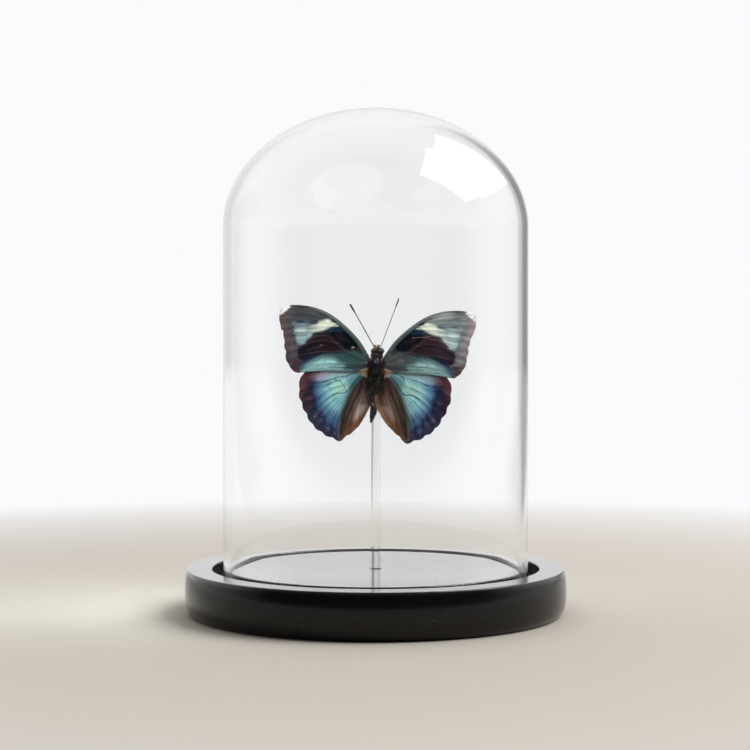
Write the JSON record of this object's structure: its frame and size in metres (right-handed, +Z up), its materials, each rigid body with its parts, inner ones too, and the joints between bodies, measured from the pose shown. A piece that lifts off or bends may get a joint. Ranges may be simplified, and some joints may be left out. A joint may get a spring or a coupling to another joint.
{
  "type": "butterfly in glass dome",
  "caption": "Dried butterfly with spread blue-green wings, held on a clear rod under a glass dome that stands in the groove of a round black wooden base.",
  "frame": {"origin": "centre of the base's flat underside, on the surface that the object stands on", "axes": "+Z up along the dome's axis; the butterfly's back and the front of the object face -Y; +X is to the right as seen from the front"},
  "size_m": [0.125, 0.125, 0.1652],
  "materials": {
    "black_painted_wood": "satin",
    "dome_glass": "polished",
    "clear_acrylic": "polished",
    "clear_glue": "gloss",
    "body_fur": "matte",
    "dark_cuticle": "satin",
    "tan_scales": "matte",
    "forewing_scales": "matte",
    "hindwing_scales": "matte"
  },
  "bodies": {
    "root": {"base": "black_painted_wood", "glass_dome": "dome_glass", "support_rod": "clear_acrylic", "adhesive_bead": "clear_glue", "thorax": "body_fur", "abdomen": "body_fur", "head": "dark_cuticle", "antenna_left": "dark_cuticle", "antenna_right": "dark_cuticle", "proboscis": "dark_cuticle", "palp_left": "tan_scales", "palp_right": "tan_scales", "foreleg_left": "dark_cuticle", "foreleg_right": "dark_cuticle", "midleg_left": "dark_cuticle", "midleg_right": "dark_cuticle", "hindleg_left": "dark_cuticle", "hindleg_right": "dark_cuticle", "forewing_left": "forewing_scales", "forewing_right": "forewing_scales", "hindwing_left": "hindwing_scales", "hindwing_right": "hindwing_scales"}
  },
  "joints": []
}
